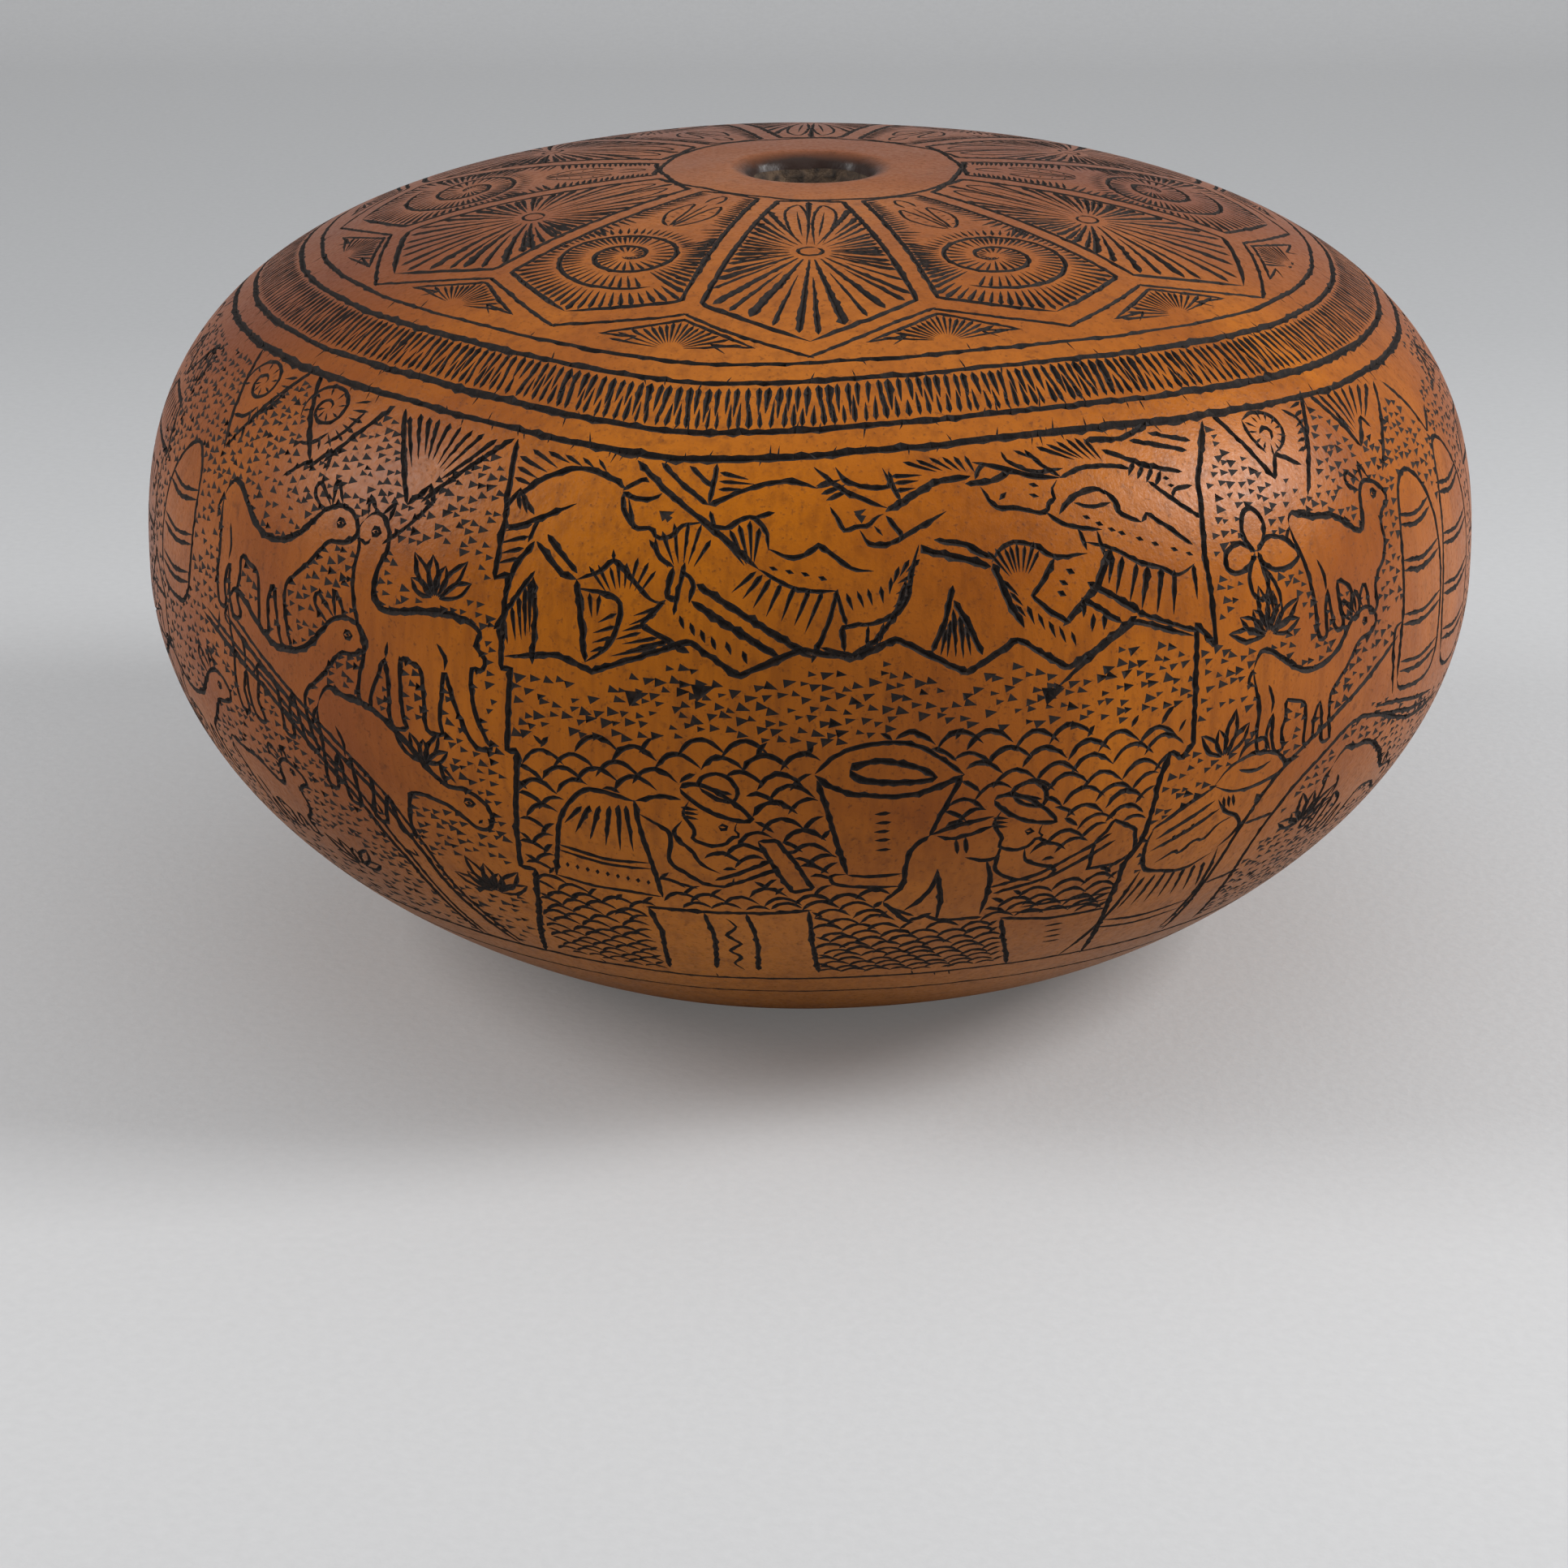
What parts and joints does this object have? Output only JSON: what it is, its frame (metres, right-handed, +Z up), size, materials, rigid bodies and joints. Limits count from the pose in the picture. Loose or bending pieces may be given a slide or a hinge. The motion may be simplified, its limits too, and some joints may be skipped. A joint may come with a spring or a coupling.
{
  "type": "carved gourd",
  "caption": "Flattened round dried gourd, engraved with soot-darkened bands and country scenes, with a corky stem pit, a flat base and loose seeds that rattle.",
  "frame": {"origin": "middle of the gourd on the plane of its flat base", "axes": "+Z up through the stem pit, the harvest scene faces -Y, +X to its right"},
  "size_m": [0.14, 0.14, 0.0822],
  "materials": {
    "rind": "satin, rubbed golden brown rind",
    "soot": "matte soot rubbed into engraved lines",
    "pith": "soft pale dry pith",
    "cork": "rough grey-brown cork",
    "stem_fibre": "dry brown fibre",
    "blossom": "dry dark scar",
    "pulp": "dry spongy pulp",
    "membrane": "papery dry tissue",
    "seed": "smooth dry seed coat"
  },
  "bodies": {
    "gourd": {"rind_shell": "rind", "pith_lining": "pith", "stem_cork": "cork", "stem_strands": "stem_fibre", "blossom_end": "blossom", "soot_ring_star": "soot", "soot_ring_hatch_top": "soot", "soot_ring_hatch_foot": "soot", "soot_ring_panel_top": "soot", "soot_ring_panel_foot": "soot", "soot_ring_foot": "soot", "pulp_core": "pulp", "pulp_membranes": "membrane", "held_seeds": "seed"},
    "seed_a": {"loose_seed_a": "seed"},
    "seed_b": {"loose_seed_b": "seed"},
    "seed_c": {"loose_seed_c": "seed"},
    "seed_d": {"loose_seed_d": "seed"}
  },
  "joints": [
    {"name": "seed_a_rattle", "type": "slide", "parent": "gourd", "child": "seed_a", "axis": [0, 0, 1], "range_m": [0, 0.06]},
    {"name": "seed_b_rattle", "type": "slide", "parent": "gourd", "child": "seed_b", "axis": [0, 0, 1], "range_m": [0, 0.06]},
    {"name": "seed_c_rattle", "type": "slide", "parent": "gourd", "child": "seed_c", "axis": [0, 0, 1], "range_m": [0, 0.06]},
    {"name": "seed_d_rattle", "type": "slide", "parent": "gourd", "child": "seed_d", "axis": [0, 0, 1], "range_m": [0, 0.06]}
  ]
}
